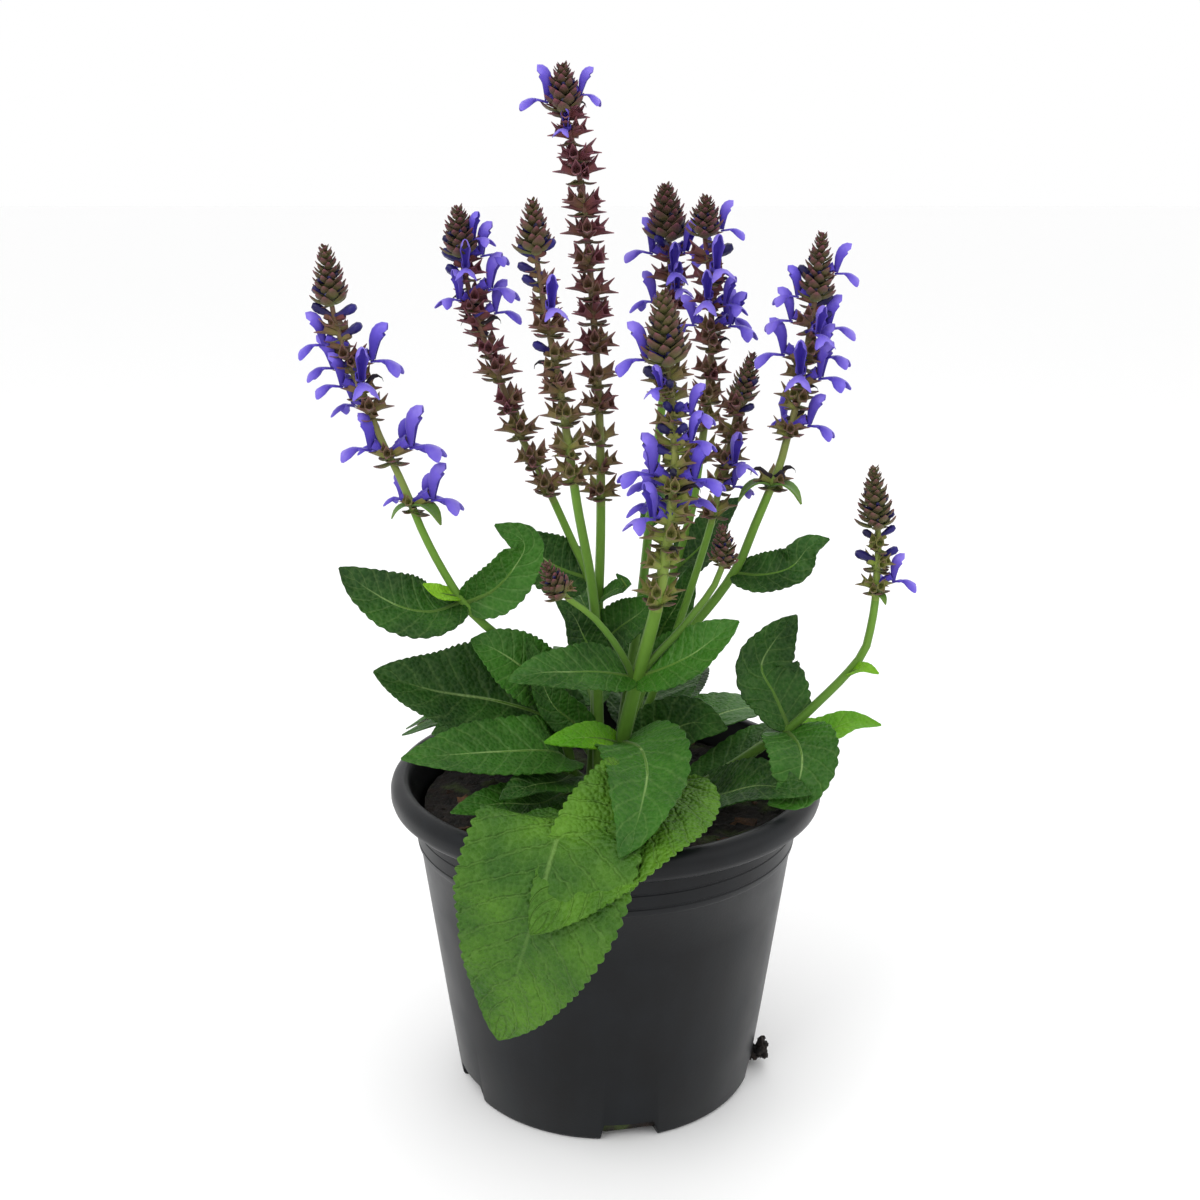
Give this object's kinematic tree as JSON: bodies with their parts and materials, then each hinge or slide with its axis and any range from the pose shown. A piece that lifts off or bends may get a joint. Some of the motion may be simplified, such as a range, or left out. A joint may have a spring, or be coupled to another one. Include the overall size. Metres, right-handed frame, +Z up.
{
  "type": "perennial salvia in a nursery pot",
  "caption": "Perennial salvia with violet-blue flower spikes, brown spent calyxes and crinkled toothed green leaves, growing in a round black plastic nursery pot.",
  "frame": {"origin": "centre of the pot's flat base, on the ground", "axes": "+Z up along the pot's axis; -Y towards the side seen from the front; +X to that viewer's right"},
  "size_m": [0.2159, 0.2045, 0.383],
  "materials": {
    "pot_plastic": "satin black moulded plastic",
    "peat": "matte crumbly peat with bark",
    "foliage": "soft matte leaf surface",
    "bloom": "soft matte petals and calyxes"
  },
  "bodies": {
    "root": {"pot": "pot_plastic", "potting_soil": "peat", "stem_tall_back": "foliage", "stem_left_mid": "foliage", "stem_left_inner": "foliage", "stem_right_back": "foliage", "stem_right_inner": "foliage", "stem_front": "foliage", "stem_small_right": "foliage", "stem_right_out": "foliage", "stem_far_right": "foliage", "stem_left_out": "foliage", "spike_tall_back": "bloom", "spike_left_mid": "bloom", "spike_left_inner": "bloom", "spike_right_back": "bloom", "spike_right_inner": "bloom", "spike_front": "bloom", "spike_small_right": "bloom", "spike_right_out": "bloom", "spike_far_right": "bloom", "spike_left_out": "bloom", "spike_bud_left": "bloom", "spike_bud_right": "bloom"}
  },
  "joints": []
}
